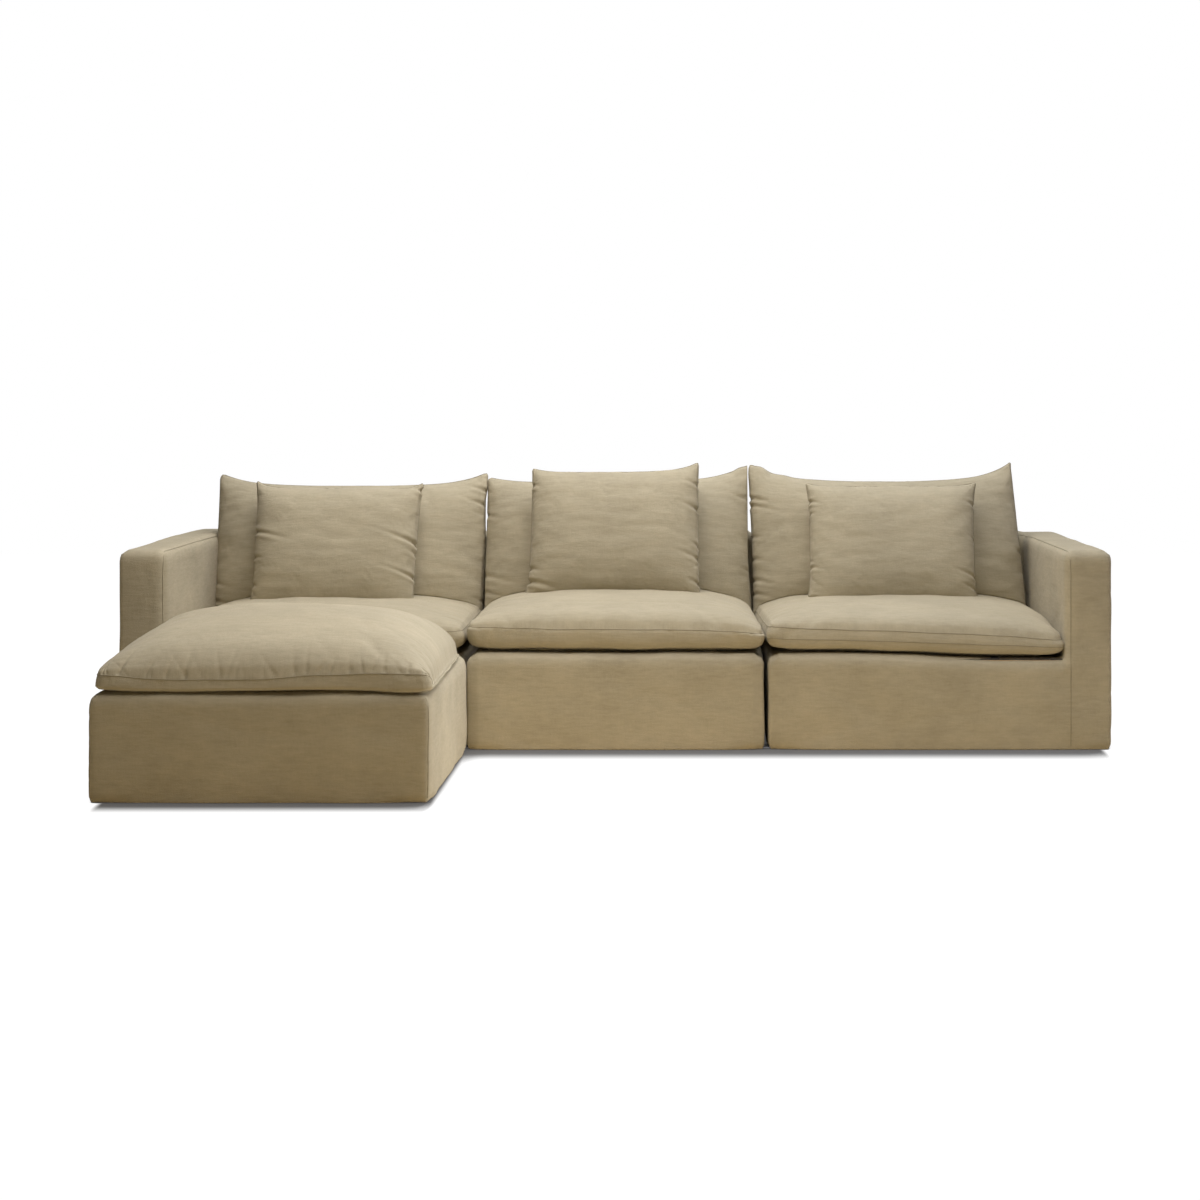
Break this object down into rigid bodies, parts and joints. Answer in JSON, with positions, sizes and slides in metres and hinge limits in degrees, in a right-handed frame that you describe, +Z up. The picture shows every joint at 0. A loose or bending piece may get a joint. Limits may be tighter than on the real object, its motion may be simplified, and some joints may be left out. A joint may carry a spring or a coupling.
{
  "type": "sectional sofa with chaise",
  "caption": "Low slipcovered modular sofa with square arms, loose box-edged seat cushions, knife-edged back and throw cushions, and an ottoman that makes a chaise.",
  "frame": {"origin": "on the floor, under the middle of the whole set", "axes": "+X to the right as seen from the front, +Y to the back, +Z up"},
  "size_m": [3.146, 1.9724, 0.875],
  "materials": {
    "linen": "matte",
    "timber": "satin",
    "webbing": "matte",
    "foot_plastic": "matte",
    "steel": "satin",
    "foam": "matte",
    "ticking": "matte"
  },
  "bodies": {
    "modules": {"left_cover": "linen", "left_base_frame": "timber", "left_webbing": "webbing", "left_back_frame": "timber", "left_arm_frame": "timber", "left_foot_1": "foot_plastic", "left_foot_2": "foot_plastic", "left_foot_3": "foot_plastic", "left_foot_4": "foot_plastic", "centre_cover": "linen", "centre_base_frame": "timber", "centre_webbing": "webbing", "centre_back_frame": "timber", "centre_foot_1": "foot_plastic", "centre_foot_2": "foot_plastic", "centre_foot_3": "foot_plastic", "centre_foot_4": "foot_plastic", "right_cover": "linen", "right_base_frame": "timber", "right_webbing": "webbing", "right_back_frame": "timber", "right_arm_frame": "timber", "right_foot_1": "foot_plastic", "right_foot_2": "foot_plastic", "right_foot_3": "foot_plastic", "right_foot_4": "foot_plastic", "link_plate_1": "steel", "link_plate_2": "steel", "link_plate_3": "steel", "link_plate_4": "steel"},
    "left_seat": {"left_seat_cushion": "linen", "left_seat_core": "foam"},
    "left_back": {"left_back_cushion": "linen", "left_back_insert": "ticking"},
    "left_throw": {"left_throw_cushion": "linen", "left_throw_insert": "ticking"},
    "centre_seat": {"centre_seat_cushion": "linen", "centre_seat_core": "foam"},
    "centre_back": {"centre_back_cushion": "linen", "centre_back_insert": "ticking"},
    "centre_throw": {"centre_throw_cushion": "linen", "centre_throw_insert": "ticking"},
    "right_seat": {"right_seat_cushion": "linen", "right_seat_core": "foam"},
    "right_back": {"right_back_cushion": "linen", "right_back_insert": "ticking"},
    "right_throw": {"right_throw_cushion": "linen", "right_throw_insert": "ticking"},
    "chaise": {"chaise_cover": "linen", "chaise_base_frame": "timber", "chaise_webbing": "webbing", "chaise_foot_1": "foot_plastic", "chaise_foot_2": "foot_plastic", "chaise_foot_3": "foot_plastic", "chaise_foot_4": "foot_plastic"},
    "chaise_top": {"chaise_cushion": "linen", "chaise_core": "foam"}
  },
  "joints": [
    {"name": "chaise_pull", "type": "slide", "parent": "modules", "child": "chaise", "axis": [0, -1, 0], "range_m": [0, 0.6]},
    {"name": "chaise_top_lift", "type": "slide", "parent": "chaise", "child": "chaise_top", "axis": [0, 0, 1], "range_m": [0, 0.3]},
    {"name": "left_seat_lift", "type": "slide", "parent": "modules", "child": "left_seat", "axis": [0, 0, 1], "range_m": [0, 0.35]},
    {"name": "left_back_lift", "type": "slide", "parent": "left_seat", "child": "left_back", "axis": [0, -0.45, 0.893], "range_m": [0, 0.5]},
    {"name": "left_throw_lift", "type": "slide", "parent": "left_back", "child": "left_throw", "axis": [0, -0.6, 0.8], "range_m": [0, 0.5]},
    {"name": "centre_seat_lift", "type": "slide", "parent": "modules", "child": "centre_seat", "axis": [0, 0, 1], "range_m": [0, 0.35]},
    {"name": "centre_back_lift", "type": "slide", "parent": "centre_seat", "child": "centre_back", "axis": [0, -0.45, 0.893], "range_m": [0, 0.5]},
    {"name": "centre_throw_lift", "type": "slide", "parent": "centre_back", "child": "centre_throw", "axis": [0, -0.6, 0.8], "range_m": [0, 0.5]},
    {"name": "right_seat_lift", "type": "slide", "parent": "modules", "child": "right_seat", "axis": [0, 0, 1], "range_m": [0, 0.35]},
    {"name": "right_back_lift", "type": "slide", "parent": "right_seat", "child": "right_back", "axis": [0, -0.45, 0.893], "range_m": [0, 0.5]},
    {"name": "right_throw_lift", "type": "slide", "parent": "right_back", "child": "right_throw", "axis": [0, -0.6, 0.8], "range_m": [0, 0.5]}
  ]
}
